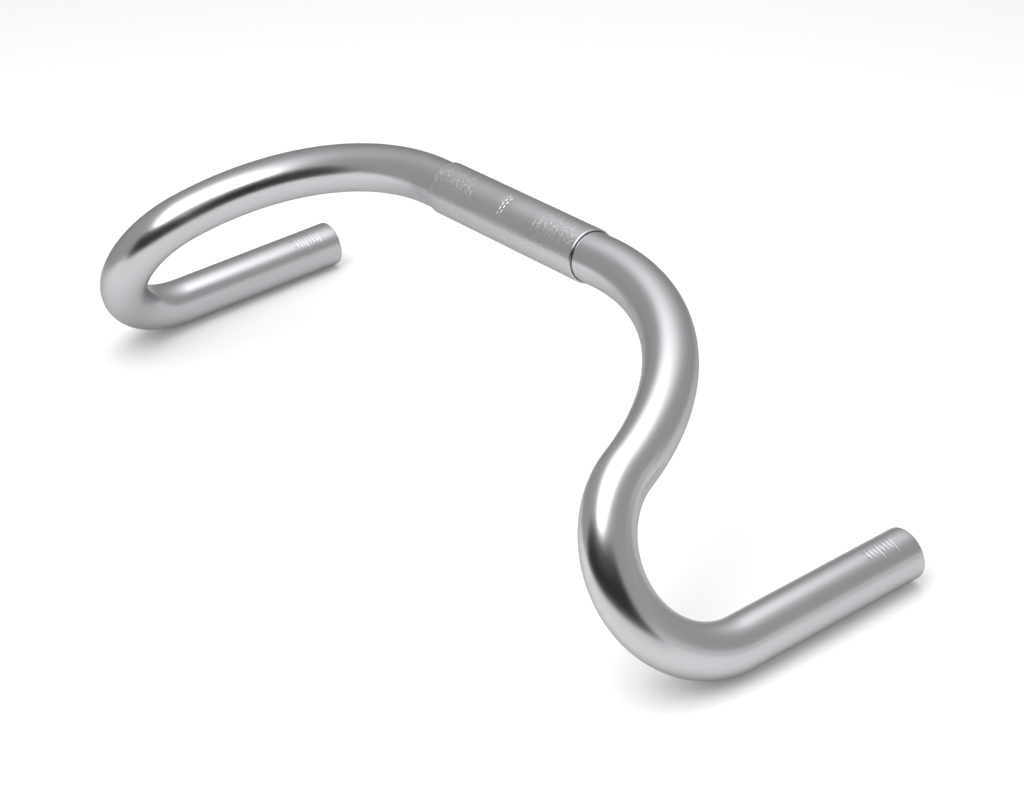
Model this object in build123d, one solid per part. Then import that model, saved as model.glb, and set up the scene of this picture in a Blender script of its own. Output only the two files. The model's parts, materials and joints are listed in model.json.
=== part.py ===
from build123d import *
import math
import os

# Drop handlebar: one hollow aluminium tube bent alike on both sides, with a sleeve over its middle.
# Millimetres. The origin is the centre of the sleeve. X runs along the sleeve, -Y is forward (the
# hooks), +Y is back (the open ends) and Z is up. Both straight drops lie level, along Y.

# Tube
TUBE_OD = 24.0
TUBE_WALL = 2.0
LEAD_LENGTH = 63.0        # straight tube from the middle of the bar to the first bend
TOP_BEND_RADIUS = 114.0   # centreline radius of the long sweep forward
TOP_BEND_ANGLE = 75.5
TOP_BEND_DIP = 17.5       # how far the plane of that sweep leans down from level
HOOK_TURN = 119.8         # turn of the bending plane between the sweep and the hook
HOOK_RADIUS = 43.5
HOOK_FIRST_ANGLE = 79.0   # the first press of the hook; the second one ends level, along Y
DROP_LENGTH = 95.0        # straight part that the hand holds
END_OUTER_ROUND = 1.0
END_INNER_CHAMFER = 0.5

# Sleeve
SLEEVE_OD = 26.0
SLEEVE_LENGTH = 108.0
SLEEVE_END_ROUND = 0.7

BACKWARD = Vector(0, 1, 0)


def ring(at):
    """The tube's cross-section, square to the z direction of the location."""
    return at * (Circle(TUBE_OD / 2) - Circle(TUBE_OD / 2 - TUBE_WALL))


def straight_run(at, length):
    """A straight length of tube, and the location of its far end."""
    run = extrude(ring(at), amount=length)
    return run, at * Pos(Z=length)


def bent_run(at, radius, angle):
    """Tube bent towards the location's x direction, and the location of its far end."""
    centre = at * Pos(X=radius)
    bend_axis = Axis(centre.position, Plane(at).y_dir)
    run = revolve(ring(at), axis=bend_axis, revolution_arc=angle)
    return run, centre * Rot(Y=angle) * Pos(X=-radius)


def level_hook_end(at):
    """The location turned so that one more bend ends along Y, and the angle of that bend."""
    heading = Plane(at).z_dir
    across = (BACKWARD - heading * heading.dot(BACKWARD)).normalized()
    turned = Plane(origin=at.position, x_dir=across, z_dir=heading).location
    return turned, math.degrees(math.acos(heading.dot(BACKWARD)))


def finish_tube_end(half):
    """Rounds the cut end of the drop outside and takes its sharp edge off inside."""
    rims = half.faces().sort_by(Axis.Y)[-1].edges().sort_by(SortBy.RADIUS)
    half = fillet(rims[-1], END_OUTER_ROUND)
    inner_rim = half.faces().sort_by(Axis.Y)[-1].edges().sort_by(SortBy.RADIUS)[0]
    return chamfer(inner_rim, END_INNER_CHAMFER)


def right_half_tube():
    """The tube from the middle of the bar to the open end on the +X side."""
    dip = math.radians(TOP_BEND_DIP)
    forward_and_down = Vector(0, -math.cos(dip), -math.sin(dip))
    at = Plane(origin=(0, 0, 0), x_dir=forward_and_down, z_dir=(1, 0, 0)).location
    lead, at = straight_run(at, LEAD_LENGTH)
    sweep_forward, at = bent_run(at, TOP_BEND_RADIUS, TOP_BEND_ANGLE)
    hook_start, at = bent_run(at * Rot(Z=HOOK_TURN), HOOK_RADIUS, HOOK_FIRST_ANGLE)
    at, last_angle = level_hook_end(at)
    hook_end, at = bent_run(at, HOOK_RADIUS, last_angle)
    drop, at = straight_run(at, DROP_LENGTH)
    half = lead + sweep_forward + hook_start + hook_end + drop
    print("end of the drop's centreline", at.position)
    return finish_tube_end(half)


def bar_tube():
    """The whole bent tube, the same on both sides of the plane X = 0."""
    half = right_half_tube()
    return half + mirror(half, about=Plane.YZ)


def centre_sleeve():
    """The collar that the stem clamps, a press fit over the straight middle of the tube."""
    wall = Plane.YZ * (Circle(SLEEVE_OD / 2) - Circle(TUBE_OD / 2))
    sleeve = extrude(wall, amount=SLEEVE_LENGTH / 2, both=True)
    end_rims = sleeve.edges().filter_by(GeomType.CIRCLE).group_by(SortBy.RADIUS)[-1]
    return fillet(end_rims, SLEEVE_END_ROUND)


os.makedirs("parts", exist_ok=True)
for node, make in (("bar_tube", bar_tube), ("centre_sleeve", centre_sleeve)):
    export_step(make(), f"parts/{node}.step")
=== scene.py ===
import json
import math

from random import Random

import bpy
from mathutils import Matrix, Vector


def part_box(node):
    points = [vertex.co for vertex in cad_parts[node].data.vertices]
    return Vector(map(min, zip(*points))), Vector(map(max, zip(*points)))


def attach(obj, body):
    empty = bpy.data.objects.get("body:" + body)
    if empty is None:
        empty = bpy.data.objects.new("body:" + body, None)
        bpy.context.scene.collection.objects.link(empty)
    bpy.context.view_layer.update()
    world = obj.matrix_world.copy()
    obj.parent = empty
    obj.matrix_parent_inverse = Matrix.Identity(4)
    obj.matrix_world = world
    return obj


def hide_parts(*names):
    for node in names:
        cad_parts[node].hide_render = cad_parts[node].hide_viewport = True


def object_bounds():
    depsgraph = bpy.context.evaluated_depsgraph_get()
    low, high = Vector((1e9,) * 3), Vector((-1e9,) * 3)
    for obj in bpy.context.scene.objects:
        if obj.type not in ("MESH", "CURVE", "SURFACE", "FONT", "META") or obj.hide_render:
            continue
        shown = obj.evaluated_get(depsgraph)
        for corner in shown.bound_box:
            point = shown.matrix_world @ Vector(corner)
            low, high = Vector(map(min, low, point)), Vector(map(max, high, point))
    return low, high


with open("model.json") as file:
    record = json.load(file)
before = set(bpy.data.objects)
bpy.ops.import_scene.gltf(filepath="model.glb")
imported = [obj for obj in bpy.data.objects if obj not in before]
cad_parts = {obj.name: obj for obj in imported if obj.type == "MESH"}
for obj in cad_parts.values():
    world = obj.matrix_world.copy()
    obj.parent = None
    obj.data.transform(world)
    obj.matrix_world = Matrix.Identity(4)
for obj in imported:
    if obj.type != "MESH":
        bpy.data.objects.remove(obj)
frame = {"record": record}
cad_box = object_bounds()

# Metres and radians, in the frame of the CAD model: X along the sleeve, -Y forward, Z up.
MM = 0.001
mounts = {mount["name"]: mount for mount in frame["record"]["mounts"]}

# Tube: the same bends as in the CAD model
TUBE_RADIUS = mounts["grip_left"]["dims"]["r_mm"] * MM
BORE_RADIUS = mounts["bar_end_left"]["dims"]["r_mm"] * MM
DROP_X, _, DROP_Z = mounts["grip_left"]["pos_m"]
DROP_END_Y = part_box("bar_tube")[1].y
LEAD_LENGTH = 63.0 * MM
TOP_BEND_RADIUS = 114.0 * MM
TOP_BEND_ANGLE = math.radians(75.5)
TOP_BEND_DIP = math.radians(17.5)
HOOK_TURN = math.radians(119.8)
HOOK_RADIUS = 43.5 * MM
HOOK_FIRST_ANGLE = math.radians(79.0)
END_ROUND = 1.0 * MM
END_CHAMFER = 0.5 * MM

# Scale of ticks cut near each open end, to set levers and plugs by
TICK_COUNT = 8
TICK_PITCH = 2.0 * MM
FIRST_TICK = 11.0 * MM            # from the open end
TICK_WIDTH = 0.40 * MM
TICK_BEVEL = 0.11 * MM
TICK_DEPTH = 0.05 * MM
TICK_START = math.radians(3.0)    # from the top of the right drop towards +X
LEFT_TICK_START = math.radians(20.0)   # from the top of the left drop, towards +X as well
TICK_TURN = math.radians(20.0)
LONG_TICK_TURN = math.radians(38.0)
LONG_TICK_EVERY = 4

# Sleeve
SLEEVE_RADIUS = mounts["stem_clamp"]["dims"]["r_mm"] * MM
SLEEVE_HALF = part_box("centre_sleeve")[1].x
SLEEVE_ROUND = 0.7 * MM
SLEEVE_SIDES = 432
SLEEVE_SIDE = 2 * math.pi / SLEEVE_SIDES   # angle from one side to the next, 0.19 mm of arc
SIDES_PER_FLUTE = 6               # 72 fine grip lines along the clamp zone
FLUTE_DEPTH = 0.05 * MM
FLUTED_HALF = 21.0 * MM
FLUTE_RUNOUT = 1.0 * MM
SLEEVE_GAP = 0.3 * MM             # gap where the sleeve's inner edges are broken; its faces carry painted shade
EVEN_RINGS = (0.0, 6.0 * MM, 11.0 * MM, 16.0 * MM)   # rings of points between the cuts

# Two rounded patches of hatching on the sleeve: short strokes, scattered and mostly round the sleeve
CUT_DEPTH = 0.06 * MM
CUT_BEVEL = 0.16 * MM
PATCH_X = 37.5 * MM
PATCH_HALF_LENGTH = 14.0 * MM
PATCH_HALF_ARC = 13.5 * MM
PATCH_MIDDLE = math.radians(57.0)    # from the top of the sleeve forward
PATCH_SQUARENESS = 3.0               # 2 is an ellipse, more is squarer
PATCH_STEP = 0.36 * MM               # from one ring of points to the next
STROKE_PITCH = 2.2 * MM
STROKE_SHIFT = 0.9 * MM              # how far a stroke strays from its place in the grid
STROKE_HALVES = (0.15 * MM, 1.2 * MM)
STROKE_DEPTHS = (0.5, 1.4)           # as a share of CUT_DEPTH
STROKE_SLANT = 0.4                   # how far a stroke leans away from the way round the sleeve
STROKE_REACH = 0.22 * MM             # half its width
HATCHING_SEED = 11

# Two rows of dashes round the middle of the sleeve, to centre a stem and set its turn
CENTRE_DEPTH = 0.10 * MM
CENTRE_START = math.radians(7.0)     # from the top of the sleeve forward
CENTRE_DASHES = 5
CENTRE_PITCH = 13                    # sides from one dash to the next
CENTRE_DASH = 8                      # sides in a dash
CENTRE_ROW_X = 1.0 * MM
CENTRE_ROW_HALF = 0.36 * MM

# Finish
TUBE_COLOURS = ((0.745, 0.752, 0.778), (0.765, 0.772, 0.794))     # where it is dull and bright
SLEEVE_COLOURS = ((0.725, 0.732, 0.756), (0.745, 0.752, 0.773))
METAL_ROUGHNESS = 0.23
SLEEVE_ROUGHNESS = 0.267
EDGE_SHADE = 0.67                 # tint of the gloss towards the outline, where 1 is none
CUT_COLOUR = (0.86, 0.86, 0.86)
CUT_ROUGHNESS = 0.25              # added to the roughness around
BORE_COLOUR = (0.62, 0.62, 0.62)
# painted shade: near black on the faces of the gap between sleeve and tube
GAP_PAINTED_SHADE_COLOUR = (0.16, 0.16, 0.17)
BORE_ROUGHNESS = 0.3
SMUDGE_ROUGHNESS = 0.04
LINE_ROUGHNESS = 0.005
LINE_DEPTH = 0.0005 * MM
GRAIN_DEPTH = 0.0009 * MM
LINE_SCALE = (1500.0, 14.0)       # lumps to the metre, across the metal and along it
SMUDGE_SCALE = (55.0, 22.0)
GRAIN_SCALE = (900.0, 700.0)
NOISE_RANGE = (0.3, 0.7)          # where most of a noise's values lie

# Studio. A softness is about half the width of a soft edge.
FLOOR_Z = cad_box[0].z
FLOOR_HALF = 6.0
FLOOR_SHADE = 0.88
# The paper as the metal's gloss sees it: painted shade, darker than the paper, and painted light that
# grades it with its place
FLOOR_PAINTED_SHADE_IN_GLOSS = 0.81
FLOOR_TINT = (1.0, 1.0, 0.995)
FLOOR_PAINTED_LIGHT_X = 0.14
FLOOR_PAINTED_LIGHT_Y = -0.22
FLOOR_LEFT = -0.442
FLOOR_LEFT_SOFTNESS = 0.147
FLOOR_BACK = 0.02
FLOOR_BACK_SOFTNESS = 1.57
SOFTBOX_LIGHT = 5.02
SOFTBOX_HEIGHT = 0.80
SOFTBOX_LEAN_X = -0.17
SOFTBOX_LEAN_Y = 0.46
SOFTBOX_TURN = 0.36
SOFTBOX_LEFT = -0.397
SOFTBOX_RIGHT = 0.296
SOFTBOX_BACK = 0.056
SOFTBOX_SIDE_SOFTNESS = 0.24
SOFTBOX_BACK_SOFTNESS = 0.49
SOFTBOX_EXTENTS = (-1.2, 1.2, -3.0, 1.6)   # well beyond its soft edges; the front has none
CARD_REACH = 3                    # how many softnesses a card goes on beyond its edge
DARK_CARD_X = 0.256
DARK_CARD_Y = -0.407
DARK_CARD_Z = 0.045
DARK_CARD_TURN = -0.11
DARK_CARD_HALF_WIDTH = 0.51
DARK_CARD_HALF_HEIGHT = 0.296
DARK_CARD_SOFTNESS = 0.06
DARK_CARD_COLOUR = (0.002, 0.001, 0.004)
WARM_EDGE = 0.02
WARM_COLOUR = (0.26, 0.15, 0.09)
SWEEP_X = 1.14
SWEEP_Y = 0.37
SWEEP_Z = 0.027
SWEEP_HALF_WIDTH = 0.64
SWEEP_HALF_HEIGHT = 0.105
SWEEP_SOFTNESS = 0.072
SWEEP_LIGHT = 0.66
ROOM_LIGHT = 0.80
ROOM_IN_GLOSS = 0.35

# Camera
EYE = Vector((0.8348, -0.6077, 0.4857))
VIEW_AZIMUTH = math.radians(54.51)
VIEW_ELEVATION = math.radians(29.47)
VIEW_ROLL = math.radians(-4.97)
LENS_MM = 85.85

# Mesh fineness
TUBE_SIDES = 96
BEND_STEP = 1.3 * MM
STRAIGHT_STEP = 4.0 * MM
BORE_SKIP = 3
ROUND_STEPS = 8
SHARP_ANGLE = math.radians(17)


def link_object(name, data):
    """A new object in the scene."""
    made = bpy.data.objects.new(name, data)
    bpy.context.scene.collection.objects.link(made)
    return made


# ---------------------------------------------------------------- mesh from rings

def tube_of_rings(name, rings, material):
    """A closed mesh: rings of points joined each to the next, and the last to the first.

    A point is (its place, its place on the tube before it was bent, how deep it is cut)."""
    sides = len(rings[0])
    points = [point for ring in rings for point in ring]
    faces = []
    for i in range(len(rings)):
        here = i * sides
        there = (i + 1) % len(rings) * sides
        for k in range(sides):
            after = (k + 1) % sides
            faces.append((here + k, here + after, there + after, there + k))
    mesh = bpy.data.meshes.new(name)
    mesh.from_pydata([place for place, _, _ in points], [], faces)
    straightened = mesh.attributes.new("straightened", "FLOAT_VECTOR", "POINT")
    straightened.data.foreach_set("vector", [v for _, straight, _ in points for v in straight])
    cut = mesh.attributes.new("cut", "FLOAT", "POINT")
    cut.data.foreach_set("value", [min(1.0, depth / CUT_DEPTH) for _, _, depth in points])
    mesh.polygons.foreach_set("use_smooth", [True] * len(faces))
    mesh.set_sharp_from_angle(angle=SHARP_ANGLE)
    mesh.materials.append(material)
    return link_object(name, mesh)


# ---------------------------------------------------------------- tube

def straight_stations(at, distances):
    """Places along a straight run: (transform, distance from its start)."""
    return [(at @ Matrix.Translation((0, 0, distance)), distance) for distance in distances]


def even_steps(length, step):
    """Distances from one step to the whole length."""
    count = max(1, math.ceil(length / step))
    return [length * i / count for i in range(1, count + 1)]


def bend_stations(at, radius, angle, towards):
    """Places along a bend whose centre lies at the local angle `towards` from x."""
    centre = Vector((math.cos(towards), math.sin(towards), 0)) * radius
    axis = Vector((0, 0, 1)).cross(centre).normalized()
    places = []
    for distance in even_steps(radius * angle, BEND_STEP):
        turned = Matrix.Rotation(distance / radius, 4, axis)
        place = at @ Matrix.Translation(centre) @ turned @ Matrix.Translation(-centre)
        places.append((place, distance))
    return places


def drop_distances(length):
    """Distances along a drop, closer together at the cut ticks, up to where its end is rounded."""
    ticks = [length - FIRST_TICK - TICK_PITCH * i for i in range(TICK_COUNT)]
    half = TICK_WIDTH / 2
    edges = [tick + shift for tick in ticks
             for shift in (-half, TICK_BEVEL - half, half - TICK_BEVEL, half)]
    plain = [d for d in even_steps(length - END_ROUND, STRAIGHT_STEP)
             if all(abs(d - edge) > TICK_BEVEL for edge in edges)]
    return sorted(edges + plain)


def half_centreline():
    """Places from the middle of the bar to the rounded end on the +X side: (transform, distance)."""
    forward_and_down = Vector((0, -math.cos(TOP_BEND_DIP), -math.sin(TOP_BEND_DIP)))
    along = Vector((1, 0, 0))
    side = along.cross(forward_and_down)
    at = Matrix((forward_and_down, side, along)).transposed().to_4x4()
    places = [(at, 0.0)]

    def add(stations):
        walked = places[-1][1]
        places.extend((place, walked + distance) for place, distance in stations)
        return places[-1][0]

    at = add(straight_stations(at, even_steps(LEAD_LENGTH, STRAIGHT_STEP)))
    at = add(bend_stations(at, TOP_BEND_RADIUS, TOP_BEND_ANGLE, 0.0))
    at = add(bend_stations(at, HOOK_RADIUS, HOOK_FIRST_ANGLE, HOOK_TURN))
    backward = at.to_3x3().inverted() @ Vector((0, 1, 0))
    at = add(bend_stations(at, HOOK_RADIUS, math.acos(backward.z),
                           math.atan2(backward.y, backward.x)))
    add(straight_stations(at, drop_distances(DROP_END_Y - at.translation.y)))
    return places


def tick_depth(point, side, start):
    """How deep the scale near an open end is cut at a point of the +X drop's surface.

    It begins at the angle `start` from the drop's top, towards +X if side is 1 and -X if it is -1."""
    from_end = DROP_END_Y - point.y
    number = round((from_end - FIRST_TICK) / TICK_PITCH)
    off = abs(from_end - FIRST_TICK - number * TICK_PITCH)
    if not 0 <= number < TICK_COUNT or off > TICK_WIDTH / 2 - TICK_BEVEL / 2:
        return 0.0
    turn = side * math.atan2(point.x - DROP_X, point.z - DROP_Z) - start
    length = LONG_TICK_TURN if number % LONG_TICK_EVERY == 0 else TICK_TURN
    return TICK_DEPTH if 0 <= turn <= length else 0.0


def tube_ring(place, walked, radius, depth_at=None):
    """The tube's section at a place that is `walked` along it, cut in where depth_at says."""
    ring = []
    for k in range(TUBE_SIDES):
        angle = 2 * math.pi * k / TUBE_SIDES
        out = Vector((math.cos(angle), math.sin(angle), 0))
        depth = depth_at(place @ (out * radius)) if depth_at else 0.0
        ring.append((place @ (out * (radius - depth)), Vector((*(out * radius).xy, walked)), depth))
    return ring


def half_tube_rings(tick_side, tick_start):
    """Rings of the +X half, out along the outside and back along the bore."""
    def depth_at(point):
        return tick_depth(point, tick_side, tick_start)

    places = half_centreline()
    rings = [tube_ring(place, walked, TUBE_RADIUS, depth_at) for place, walked in places]
    last_place, last_walked = places[-1]

    def add_beyond(forward, radius):
        place = last_place @ Matrix.Translation((0, 0, forward))
        rings.append(tube_ring(place, last_walked + forward, radius))

    for i in range(1, ROUND_STEPS + 1):
        turn = math.pi / 2 * i / ROUND_STEPS
        add_beyond(END_ROUND * math.sin(turn), TUBE_RADIUS - END_ROUND * (1 - math.cos(turn)))
    add_beyond(END_ROUND, BORE_RADIUS + END_CHAMFER)
    add_beyond(END_ROUND - END_CHAMFER, BORE_RADIUS)
    rings += [tube_ring(place, walked, BORE_RADIUS) for place, walked in places[-2:0:-BORE_SKIP]]
    return rings, tube_ring(*places[0], BORE_RADIUS)


def mirror_ring(ring):
    """The ring on the -X side."""
    across = Vector((-1, 1, 1))
    return [(place * across, straight * Vector((1, 1, -1)), depth) for place, straight, depth in ring]


def make_tube(material):
    """The whole tube: the +X half and a mirrored half, joined in the middle.

    The mirrored half's scale is cut on its other side, so both face +X in the end."""
    half, middle_of_bore = half_tube_rings(1, TICK_START)
    other_half, _ = half_tube_rings(-1, LEFT_TICK_START)
    mirrored = [mirror_ring(ring) for ring in reversed(other_half[1:])]
    return tube_of_rings("tube", half + [middle_of_bore] + mirrored, material)


# ---------------------------------------------------------------- sleeve

def bevelled(offset, half, bevel):
    """1 inside +-half and 0 outside, with a straight bevel between."""
    return max(0.0, min(1.0, (half - abs(offset)) / bevel))


def in_patch(x, arc):
    """Whether a place, measured from the middle of a patch, lies in it."""
    return (abs(x / PATCH_HALF_LENGTH) ** PATCH_SQUARENESS
            + abs(arc / PATCH_HALF_ARC) ** PATCH_SQUARENESS) < 1


def make_strokes():
    """The strokes of a patch, each (its middle, its direction, half its length, its depth)."""
    random = Random(HATCHING_SEED)
    across = math.ceil(PATCH_HALF_LENGTH / STROKE_PITCH)
    around = math.ceil(PATCH_HALF_ARC / STROKE_PITCH)
    strokes = []
    for i in range(-across, across + 1):
        for j in range(-around, around + 1):
            shift = Vector((random.uniform(-1, 1), random.uniform(-1, 1))) * STROKE_SHIFT
            middle = Vector((i, j)) * STROKE_PITCH + shift
            slant = random.gauss(0, STROKE_SLANT)
            half = random.uniform(*STROKE_HALVES)
            depth = random.uniform(*STROKE_DEPTHS) * CUT_DEPTH
            if in_patch(*middle):
                strokes.append((middle, Vector((math.sin(slant), math.cos(slant))), half, depth))
    return strokes


STROKES = make_strokes()
CENTRE_START_SIDE = round(CENTRE_START / SLEEVE_SIDE)


def patch_depth(x, side):
    """Depth of the hatching at a place on the sleeve."""
    place = Vector((abs(x) - PATCH_X, (side * SLEEVE_SIDE - PATCH_MIDDLE) * SLEEVE_RADIUS))
    if (abs(place.x) > PATCH_HALF_LENGTH + STROKE_PITCH
            or abs(place.y) > PATCH_HALF_ARC + STROKE_PITCH):
        return 0.0
    deepest = 0.0
    for middle, direction, half, depth in STROKES:
        off = place - middle
        if off.length_squared < (half + STROKE_REACH) ** 2:
            along = max(-half, min(half, off.dot(direction)))
            cut = depth * bevelled((off - direction * along).length, STROKE_REACH, CUT_BEVEL)
            deepest = max(deepest, cut)
    return deepest


def flute_depth(x, side):
    """Depth of the fine grip lines along the clamp zone."""
    wave = (1 - math.cos(2 * math.pi * side / SIDES_PER_FLUTE)) / 2
    return FLUTE_DEPTH * wave * bevelled(x, FLUTED_HALF, FLUTE_RUNOUT)


def centre_depth(x, side):
    """Depth of the dashes round the middle of the sleeve. The two rows are half a pitch apart."""
    row_shift = CENTRE_PITCH // 2 if x > 0 else 0
    number, off = divmod(side - CENTRE_START_SIDE - row_shift, CENTRE_PITCH)
    if not 0 <= number < CENTRE_DASHES or off >= CENTRE_DASH:
        return 0.0
    return CENTRE_DEPTH * bevelled(abs(x) - CENTRE_ROW_X, CENTRE_ROW_HALF, CUT_BEVEL)


def sleeve_stations():
    """Places along the sleeve's outside where a ring of points is needed."""
    places = {*EVEN_RINGS, FLUTED_HALF - FLUTE_RUNOUT, FLUTED_HALF, SLEEVE_HALF - SLEEVE_ROUND}
    places.update(CENTRE_ROW_X + side * (CENTRE_ROW_HALF - inset)
                  for side in (-1, 1) for inset in (0, CUT_BEVEL))
    rings = math.ceil((PATCH_HALF_LENGTH + STROKE_HALVES[1]) / PATCH_STEP)
    places.update(PATCH_X + PATCH_STEP * i for i in range(-rings, rings + 1))
    ordered = sorted(places)
    return [-x for x in reversed(ordered) if x > 0] + ordered


def sleeve_ring(x, radius, cut=False):
    """The sleeve's section at x, with its cuts or plain. Sides are counted from the top, forward.

    The flutes are finished like the rest, so they don't count in how deep a point is cut."""
    ring = []
    for k in range(SLEEVE_SIDES):
        side = k if k < SLEEVE_SIDES / 2 else k - SLEEVE_SIDES
        bare = max(patch_depth(x, side), centre_depth(x, side)) if cut else 0.0
        r = radius - (max(bare, flute_depth(x, side)) if cut else 0.0)
        turn = k * SLEEVE_SIDE
        place = Vector((x, -r * math.sin(turn), r * math.cos(turn)))
        ring.append((place, Vector((place.y, place.z, x)), bare))
    return ring


def make_sleeve(material):
    """The collar over the middle of the tube, with rounded rims."""
    rings = [sleeve_ring(x, SLEEVE_RADIUS, cut=True) for x in sleeve_stations()]
    rim = []
    for i in range(1, ROUND_STEPS + 1):
        turn = math.pi / 2 * i / ROUND_STEPS
        rim.append((SLEEVE_HALF - SLEEVE_ROUND * (1 - math.sin(turn)),
                    SLEEVE_RADIUS - SLEEVE_ROUND * (1 - math.cos(turn))))
    rim += [(SLEEVE_HALF, TUBE_RADIUS + SLEEVE_GAP), (SLEEVE_HALF - SLEEVE_GAP, TUBE_RADIUS)]
    rings += [sleeve_ring(x, radius) for x, radius in rim]
    rings += [sleeve_ring(-x, radius) for x, radius in reversed(rim)]
    return tube_of_rings("sleeve", rings, material)


# ---------------------------------------------------------------- materials

class Nodes:
    """Short calls for building a material's node tree."""

    def __init__(self, name):
        self.material = bpy.data.materials.new(name)
        self.material.use_nodes = True
        self.tree = self.material.node_tree
        self.shader = self.tree.nodes["Principled BSDF"]

    def link(self, source, target):
        self.tree.links.new(source, target)

    def add(self, kind, **settings):
        node = self.tree.nodes.new(kind)
        for key, value in settings.items():
            setattr(node, key, value)
        return node

    def stretched_noise(self, coords, scale, detail=2.0, roughness=0.5):
        """Noise on the straightened tube; scale is how many lumps to the metre across and along."""
        across, along = scale
        mapping = self.add("ShaderNodeMapping")
        mapping.inputs["Scale"].default_value = (across, across, along)
        self.link(coords, mapping.inputs["Vector"])
        noise = self.add("ShaderNodeTexNoise")
        noise.inputs["Scale"].default_value = 1.0
        noise.inputs["Detail"].default_value = detail
        noise.inputs["Roughness"].default_value = roughness
        self.link(mapping.outputs["Vector"], noise.inputs["Vector"])
        return noise.outputs["Fac"]

    def ranged(self, source, low, high, to_low, to_high):
        node = self.add("ShaderNodeMapRange")
        ends = {"From Min": low, "From Max": high, "To Min": to_low, "To Max": to_high}
        for socket, value in ends.items():
            node.inputs[socket].default_value = value
        self.link(source, node.inputs["Value"])
        return node.outputs["Result"]

    def maths(self, operation, *values):
        """A Math node; each value is a socket or a number."""
        node = self.add("ShaderNodeMath", operation=operation)
        for socket, value in zip(node.inputs, values):
            if isinstance(value, (int, float)):
                socket.default_value = value
            else:
                self.link(value, socket)
        return node.outputs["Value"]

    def colour(self, rgb):
        node = self.add("ShaderNodeRGB")
        node.outputs["Color"].default_value = (*rgb, 1.0)
        return node.outputs["Color"]

    def mixed_colour(self, factor, first, second):
        node = self.add("ShaderNodeMix", data_type="RGBA")
        self.link(factor, node.inputs["Factor"])
        colours = [socket for socket in node.inputs if socket.type == "RGBA"]
        self.link(first, colours[0])
        self.link(second, colours[1])
        return next(socket for socket in node.outputs if socket.type == "RGBA")

    def bumped(self, height, depth, below=None):
        node = self.add("ShaderNodeBump")
        node.inputs["Distance"].default_value = depth
        node.inputs["Strength"].default_value = 1.0
        self.link(height, node.inputs["Height"])
        if below is not None:
            self.link(below, node.inputs["Normal"])
        return node.outputs["Normal"]


def aluminium(name, roughness, colours, inner_radius, bore_colour_and_gap_shade):
    """Polished and anodised aluminium: fine lines along the metal, a faint grain and soft smudges.

    Where the metal is cut it is bare and matt. Nearer the axis than inner_radius it is rougher and
    takes the inner colour: in the tube its duller bore, in the sleeve painted shade, near black, in the
    gap at its ends."""
    dull, bright = colours
    made = Nodes(name)
    coords = made.add("ShaderNodeAttribute", attribute_name="straightened").outputs["Vector"]
    cut = made.add("ShaderNodeAttribute", attribute_name="cut").outputs["Fac"]
    lines = made.stretched_noise(coords, LINE_SCALE, detail=3.0)
    blots = made.stretched_noise(coords, SMUDGE_SCALE, detail=4.0, roughness=0.55)
    smudges = made.ranged(blots, *NOISE_RANGE, 0, 1)
    grain = made.stretched_noise(coords, GRAIN_SCALE)
    split = made.add("ShaderNodeSeparateXYZ")
    made.link(coords, split.inputs["Vector"])
    squares = [made.maths("POWER", split.outputs[axis], 2.0) for axis in ("X", "Y")]
    inside = made.maths("LESS_THAN", made.maths("ADD", *squares), inner_radius ** 2)

    colour = made.mixed_colour(smudges, made.colour(dull), made.colour(bright))
    colour = made.mixed_colour(cut, colour, made.colour(CUT_COLOUR))
    colour = made.mixed_colour(inside, colour, made.colour(bore_colour_and_gap_shade))
    polish = made.maths("ADD", made.maths("MULTIPLY_ADD", smudges, SMUDGE_ROUGHNESS, roughness),
                        made.ranged(lines, *NOISE_RANGE, -LINE_ROUGHNESS, LINE_ROUGHNESS))
    dulled = made.maths("MULTIPLY_ADD", cut, CUT_ROUGHNESS,
                        made.maths("MULTIPLY", inside, BORE_ROUGHNESS))
    made.link(colour, made.shader.inputs["Base Color"])
    made.link(made.maths("ADD", polish, dulled), made.shader.inputs["Roughness"])
    made.shader.inputs["Metallic"].default_value = 1.0
    made.shader.inputs["Specular Tint"].default_value = (EDGE_SHADE, EDGE_SHADE, EDGE_SHADE, 1.0)
    normal = made.bumped(grain, GRAIN_DEPTH, below=made.bumped(lines, LINE_DEPTH))
    made.link(normal, made.shader.inputs["Normal"])
    return made.material


# ---------------------------------------------------------------- studio

class Glow(Nodes):
    """A material that gives out light, for the softbox and the cards."""

    def __init__(self, name, strength):
        super().__init__(name)
        self.tree.nodes.remove(self.shader)
        self.shader = self.add("ShaderNodeEmission")
        self.shader.inputs["Strength"].default_value = strength
        self.output = self.tree.nodes["Material Output"].inputs["Surface"]
        self.link(self.shader.outputs["Emission"], self.output)

    def fade_out(self, shader, amount):
        """See-through where the amount is 0."""
        mix = self.add("ShaderNodeMixShader")
        self.link(amount, mix.inputs["Fac"])
        self.link(self.add("ShaderNodeBsdfTransparent").outputs["BSDF"], mix.inputs[1])
        self.link(shader, mix.inputs[2])
        self.link(mix.outputs["Shader"], self.output)


def soft_edges(nodes, coords, edges):
    """1 inside soft edges and 0 outside, by tanh. Each edge is (axis, place, softness, inward sign)."""
    split = nodes.add("ShaderNodeSeparateXYZ")
    nodes.link(coords, split.inputs["Vector"])
    amount = None
    for axis, place, softness, inward in edges:
        steepness = inward / softness
        scaled = nodes.maths("MULTIPLY_ADD", split.outputs[axis], steepness, -place * steepness)
        fade = nodes.maths("MULTIPLY_ADD", nodes.maths("TANH", scaled), 0.5, 0.5)
        amount = fade if amount is None else nodes.maths("MULTIPLY", amount, fade)
    return amount


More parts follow.
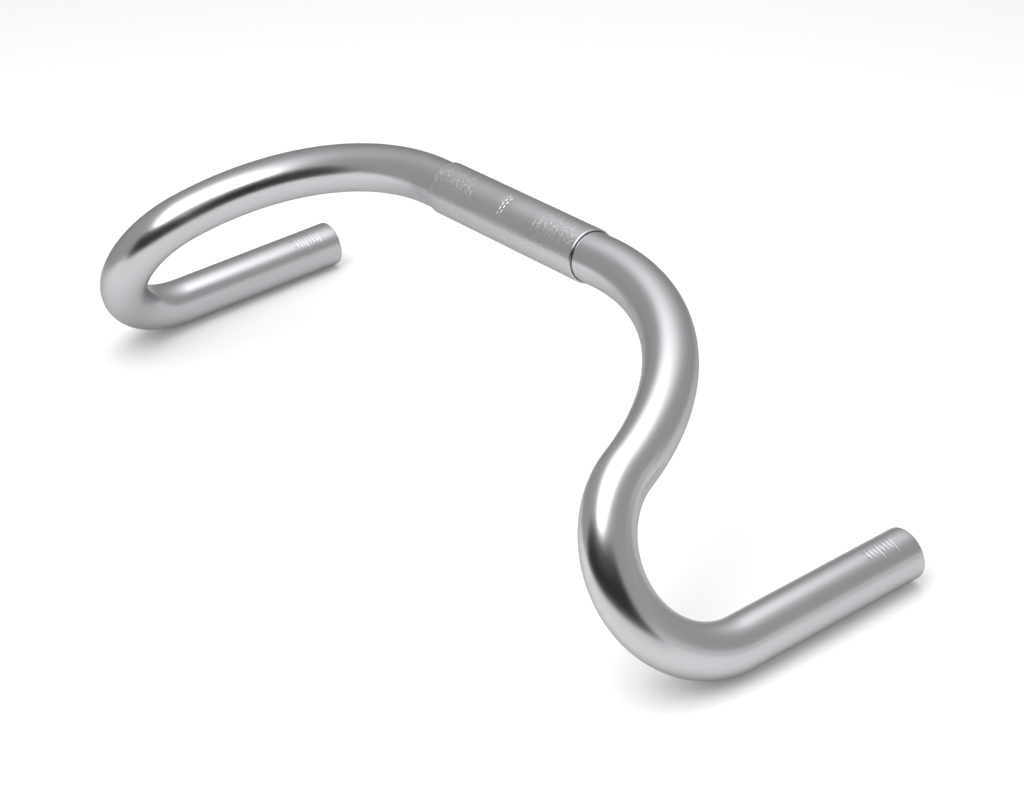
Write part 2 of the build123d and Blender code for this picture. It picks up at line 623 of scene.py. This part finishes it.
def card(name, centre, across, facing, extents, material, seen_by):
    """A flat rectangle, with extents (x0, x1, y0, y1) on its own axes, that only some rays see."""
    x0, x1, y0, y1 = extents
    mesh = bpy.data.meshes.new(name)
    mesh.from_pydata([(x0, y0, 0), (x1, y0, 0), (x1, y1, 0), (x0, y1, 0)], [], [(0, 1, 2, 3)])
    mesh.materials.append(material)
    panel = link_object(name, mesh)
    axes = Matrix((across, facing.cross(across), facing)).transposed()
    panel.matrix_world = Matrix.Translation(centre) @ axes.to_4x4()
    for ray in ("camera", "diffuse", "glossy", "shadow", "transmission", "volume_scatter"):
        setattr(panel, "visible_" + ray, ray in seen_by)


def make_softbox():
    """The large light above the bar, which slopes down towards the back."""
    made = Glow("softbox_glow", SOFTBOX_LIGHT)
    coords = made.add("ShaderNodeTexCoord").outputs["Object"]
    edges = (("X", SOFTBOX_LEFT, SOFTBOX_SIDE_SOFTNESS, 1),
             ("X", SOFTBOX_RIGHT, SOFTBOX_SIDE_SOFTNESS, -1),
             ("Y", SOFTBOX_BACK, SOFTBOX_BACK_SOFTNESS, -1))
    amount = soft_edges(made, coords, edges)
    made.fade_out(made.shader.outputs["Emission"], amount)
    facing = Vector((SOFTBOX_LEAN_X, SOFTBOX_LEAN_Y, 1)).normalized()
    turned = Vector((math.cos(SOFTBOX_TURN), math.sin(SOFTBOX_TURN), 0))
    across = (turned - facing * turned.dot(facing)).normalized()
    card("softbox", Vector((0, 0, SOFTBOX_HEIGHT)), across, facing, SOFTBOX_EXTENTS, made.material,
         ("diffuse", "glossy"))


def upright_card(name, place, height, turn, half_width, half_height, softness, glow):
    """A card that stands at a place, facing the middle of the bar but for a turn, with soft edges."""
    inward = Matrix.Rotation(turn, 3, "Z") @ (-place.normalized())
    coords = glow.add("ShaderNodeTexCoord").outputs["Object"]
    edges = [(axis, sign * half, softness, -sign)
             for axis, half in (("X", half_width), ("Y", half_height)) for sign in (-1, 1)]
    glow.fade_out(glow.shader.outputs["Emission"], soft_edges(glow, coords, edges))
    reach_x = half_width + CARD_REACH * softness
    reach_y = half_height + CARD_REACH * softness
    card(name, place + Vector((0, 0, height)), Vector((0, 0, 1)).cross(inward), inward,
         (-reach_x, reach_x, -reach_y, reach_y), glow.material, ("glossy",))


def make_dark_card():
    """A black card in front. Its upper edge is a warm brown, which shows where the softbox ends."""
    made = Glow("dark_card_glow", 1.0)
    coords = made.add("ShaderNodeTexCoord").outputs["Object"]
    edge = soft_edges(made, coords, [("Y", DARK_CARD_HALF_HEIGHT - WARM_EDGE, DARK_CARD_SOFTNESS, 1)])
    warm = made.mixed_colour(edge, made.colour(DARK_CARD_COLOUR), made.colour(WARM_COLOUR))
    made.link(warm, made.shader.inputs["Color"])
    upright_card("dark_card", Vector((DARK_CARD_X, DARK_CARD_Y, 0)), DARK_CARD_Z, DARK_CARD_TURN,
                 DARK_CARD_HALF_WIDTH, DARK_CARD_HALF_HEIGHT, DARK_CARD_SOFTNESS, made)


def make_sweep():
    """The paper's rise behind the bar on the right."""
    upright_card("sweep", Vector((SWEEP_X, SWEEP_Y, 0)), SWEEP_Z, 0.0,
                 SWEEP_HALF_WIDTH, SWEEP_HALF_HEIGHT, SWEEP_SOFTNESS, Glow("sweep_glow", SWEEP_LIGHT))


def make_floor():
    """Pale paper. In the metal's gloss it is a darker copy, painted shade, graded by painted light
    brighter towards +X and the front, and it ends to the left and the back.
    """
    made = Glow("floor_paper", 1.0)
    made.tree.nodes.remove(made.shader)
    coords = made.add("ShaderNodeTexCoord").outputs["Object"]
    glossy = made.add("ShaderNodeLightPath").outputs["Is Glossy Ray"]
    split = made.add("ShaderNodeSeparateXYZ")
    made.link(coords, split.inputs["Vector"])
    # painted light and shade: the paper's colour in gloss, darker and graded brighter towards +X and
    # the front
    slope = made.maths("ADD", made.maths("MULTIPLY", split.outputs["X"], FLOOR_PAINTED_LIGHT_X),
                       made.maths("MULTIPLY", split.outputs["Y"], FLOOR_PAINTED_LIGHT_Y))
    in_gloss = made.maths("ADD", slope, FLOOR_PAINTED_SHADE_IN_GLOSS)
    tinted = made.add("ShaderNodeVectorMath", operation="SCALE")
    tinted.inputs["Vector"].default_value = FLOOR_TINT
    made.link(in_gloss, tinted.inputs["Scale"])
    paper = made.add("ShaderNodeBsdfDiffuse")
    plain = made.colour((FLOOR_SHADE, FLOOR_SHADE, FLOOR_SHADE))
    made.link(made.mixed_colour(glossy, plain, tinted.outputs["Vector"]), paper.inputs["Color"])
    there = soft_edges(made, coords, (("X", FLOOR_LEFT, FLOOR_LEFT_SOFTNESS, 1),
                                      ("Y", FLOOR_BACK, FLOOR_BACK_SOFTNESS, -1)))
    amount = made.add("ShaderNodeMix")
    made.link(glossy, amount.inputs["Factor"])
    amount.inputs["A"].default_value = 1.0
    made.link(there, amount.inputs["B"])
    made.fade_out(paper.outputs["BSDF"], amount.outputs["Result"])
    card("floor", Vector((0, 0, FLOOR_Z)), Vector((1, 0, 0)), Vector((0, 0, 1)),
         (-FLOOR_HALF, FLOOR_HALF, -FLOOR_HALF, FLOOR_HALF), made.material,
         ("camera", "diffuse", "glossy", "shadow", "transmission"))


def make_world():
    """Even light from all round, which is darker in the metal's gloss."""
    world = bpy.data.worlds.new("studio")
    world.use_nodes = True
    tree = world.node_tree
    glossy = tree.nodes.new("ShaderNodeLightPath").outputs["Is Glossy Ray"]
    level = tree.nodes.new("ShaderNodeMix")
    tree.links.new(glossy, level.inputs["Factor"])
    level.inputs["A"].default_value = ROOM_LIGHT
    level.inputs["B"].default_value = ROOM_IN_GLOSS
    background = tree.nodes["Background"]
    background.inputs["Color"].default_value = (1, 1, 1, 1)
    tree.links.new(level.outputs["Result"], background.inputs["Strength"])
    bpy.context.scene.world = world


def make_studio():
    """Everything round the bar. None of it is part of the object."""
    make_softbox()
    make_dark_card()
    make_sweep()
    make_floor()
    make_world()
    bpy.context.scene.view_settings.view_transform = "Standard"


def make_camera():
    """The camera at EYE. It looks along -back and is rolled a little."""
    back = Vector((math.sin(VIEW_AZIMUTH) * math.cos(VIEW_ELEVATION),
                   -math.cos(VIEW_AZIMUTH) * math.cos(VIEW_ELEVATION), math.sin(VIEW_ELEVATION)))
    right = Vector((0, 0, 1)).cross(back).normalized()
    up = back.cross(right)
    upright = Matrix((right, up, back)).transposed().to_4x4()
    data = bpy.data.cameras.new("camera")
    data.lens = LENS_MM
    camera = link_object("camera", data)
    camera.matrix_world = Matrix.Translation(EYE) @ upright @ Matrix.Rotation(VIEW_ROLL, 4, "Z")
    bpy.context.scene.camera = camera


make_camera()
make_studio()
tube_metal = aluminium("tube_metal", METAL_ROUGHNESS, TUBE_COLOURS,
                       inner_radius=(TUBE_RADIUS + BORE_RADIUS) / 2, bore_colour_and_gap_shade=BORE_COLOUR)
# The sleeve's inner colour is painted shade in the gap at its ends.
sleeve_metal = aluminium("sleeve_metal", SLEEVE_ROUGHNESS, SLEEVE_COLOURS,
                         inner_radius=TUBE_RADIUS + SLEEVE_GAP, bore_colour_and_gap_shade=GAP_PAINTED_SHADE_COLOUR)
tube = make_tube(tube_metal)
sleeve = make_sleeve(sleeve_metal)
for piece, node, slot in ((tube, "bar_tube", "tube_metal"), (sleeve, "centre_sleeve", "sleeve_metal")):
    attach(piece, "root")
    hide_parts(node)
